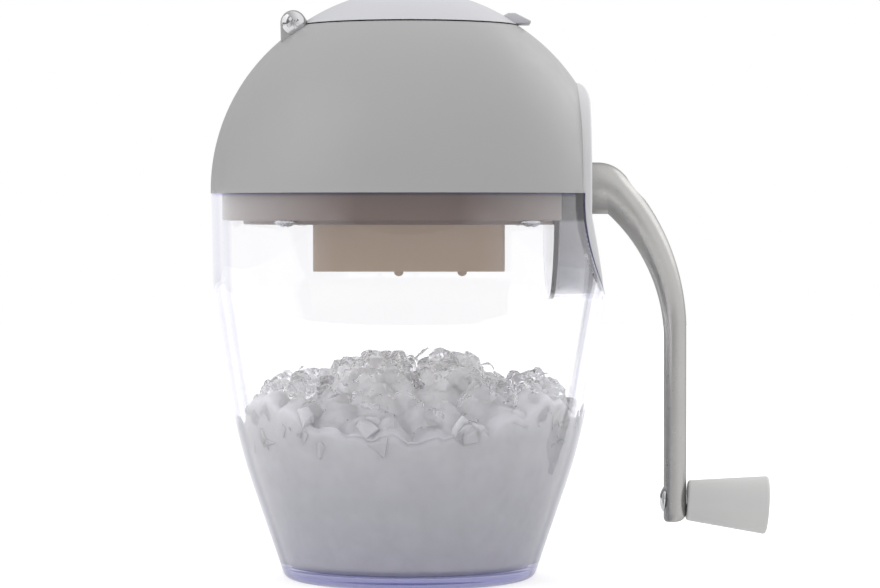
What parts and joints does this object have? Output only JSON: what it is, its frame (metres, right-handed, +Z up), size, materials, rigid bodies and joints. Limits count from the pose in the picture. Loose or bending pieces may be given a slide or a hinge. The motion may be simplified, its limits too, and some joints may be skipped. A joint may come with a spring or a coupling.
{
  "type": "hand-cranked ice crusher",
  "caption": "Hand-cranked ice crusher: a clear jar under a domed head with a hinged filler lid, a toothed rotor and a side crank with a spinning grip; crushed ice lies in the jar.",
  "frame": {"origin": "centre of the jar's foot, on the jar's own axis, at the surface it stands on", "axes": "+Z up, +X towards the crank, +Y to the back; the lid's hinge is on the -X side"},
  "size_m": [0.2342, 0.1664, 0.2462],
  "materials": {
    "clear_plastic": "clear, glossy, with a faint violet tint",
    "grey_shell": "satin moulded",
    "light_grey_shell": "satin moulded",
    "grey_housing": "satin moulded",
    "cream_plastic": "moulded, faintly translucent",
    "ice": "crushed grains, translucent and wet",
    "white_nylon": "moulded",
    "chrome": "polished",
    "steel": "brushed",
    "satin_metal": "satin cast",
    "grip_plastic": "fine satin moulded"
  },
  "bodies": {
    "jar": {"jar": "clear_plastic", "crushed_ice": "ice"},
    "head": {"dome_shell": "grey_shell", "crank_plate": "light_grey_shell", "crank_housing": "grey_housing", "base_plate": "cream_plastic", "chute": "cream_plastic", "hopper": "cream_plastic", "far_bush": "white_nylon", "near_bush": "white_nylon", "crank_bush": "white_nylon", "base_plate_screws": "steel", "housing_screws": "steel", "crusher_box_screws": "steel", "hinge_pin": "chrome", "hinge_cap": "chrome"},
    "lid": {"lid": "light_grey_shell"},
    "crank": {"drive_shaft": "steel", "rotor_blade_1": "steel", "rotor_blade_2": "steel", "rotor_blade_3": "steel", "rotor_blade_4": "steel", "rotor_blade_5": "steel", "rotor_spacers": "white_nylon", "shaft_circlip": "steel", "crank_arm": "satin_metal", "crank_screw": "steel", "grip_pin": "chrome", "grip_retainer": "steel"},
    "grip": {"grip": "grip_plastic", "grip_cap": "grip_plastic"}
  },
  "joints": [
    {"name": "head_lift", "type": "slide", "parent": "jar", "child": "head", "axis": [0, 0, 1], "range_m": [0, 0.06]},
    {"name": "lid_hinge", "type": "hinge", "parent": "head", "child": "lid", "pos_m": [-0.0479, 0, 0.2316], "axis": [0, -1, 0], "range_deg": [0, 105]},
    {"name": "crank_turn", "type": "hinge", "parent": "head", "child": "crank", "pos_m": [0, 0, 0.1634], "axis": [1, 0, 0], "continuous": true},
    {"name": "grip_spin", "type": "hinge", "parent": "crank", "child": "grip", "pos_m": [0.1166, 0, 0.0323], "axis": [0.998, 0, -0.0628], "continuous": true}
  ]
}
